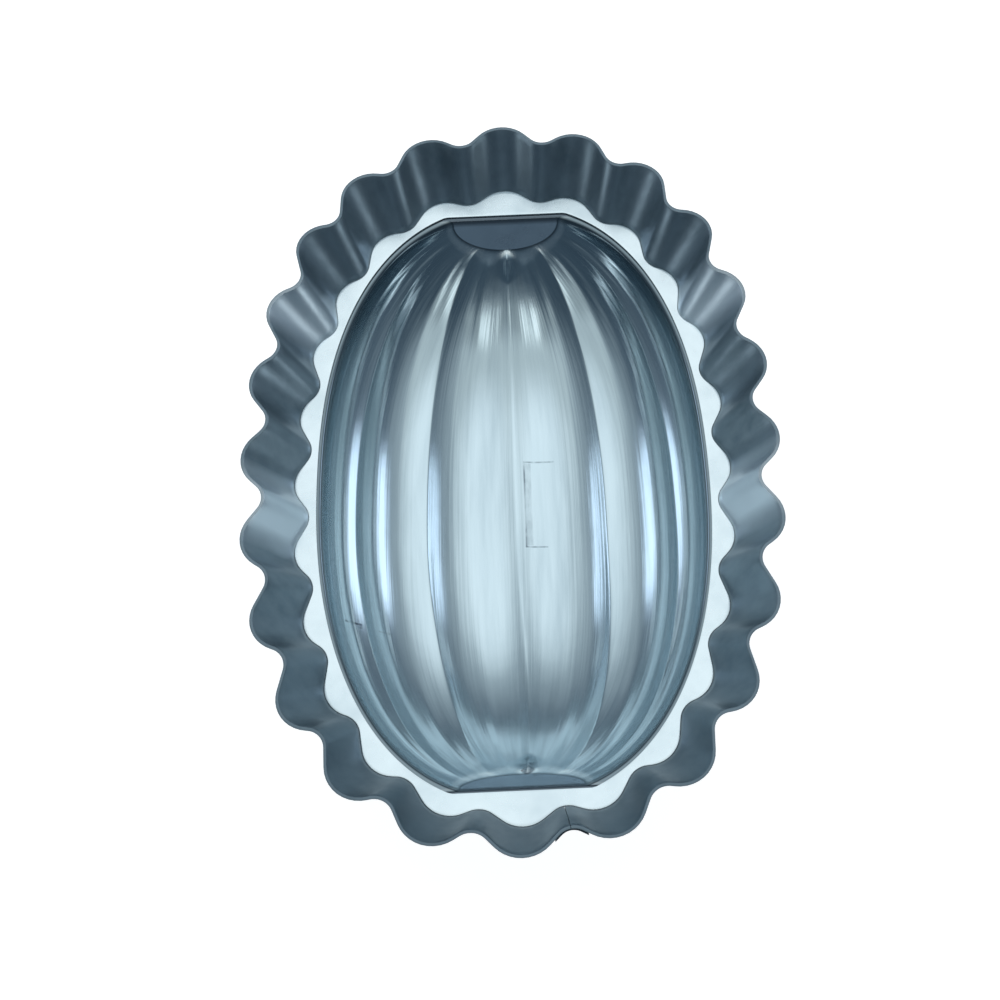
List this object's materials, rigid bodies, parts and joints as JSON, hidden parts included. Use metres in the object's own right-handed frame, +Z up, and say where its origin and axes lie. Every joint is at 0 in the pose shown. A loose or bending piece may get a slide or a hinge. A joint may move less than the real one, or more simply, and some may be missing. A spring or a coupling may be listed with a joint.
{
  "type": "jelly mold",
  "caption": "Oval melon jelly mold of bright sheet metal: a ribbed half-melon bowl, closed by half-moon end plates, under a flat scalloped ledge and a flared fluted wall.",
  "frame": {"origin": "under the middle of the mold, at the height of the belly's lowest point", "axes": "+Z up, out of the open side; +Y along the length; +X across, to the right as seen from the front end"},
  "size_m": [0.124, 0.19, 0.0439],
  "materials": {
    "bright_sheet": "satin",
    "wall_sheet": "satin",
    "solder": "satin"
  },
  "bodies": {
    "root": {"fluted_wall": "wall_sheet", "seam_strap": "wall_sheet", "ledge_plate": "bright_sheet", "melon_bowl": "bright_sheet", "end_plate_back": "bright_sheet", "end_plate_front": "bright_sheet", "wall_solder": "solder", "bowl_solder_left": "solder", "bowl_solder_right": "solder", "end_solder_back": "solder", "end_solder_front": "solder"}
  },
  "joints": []
}
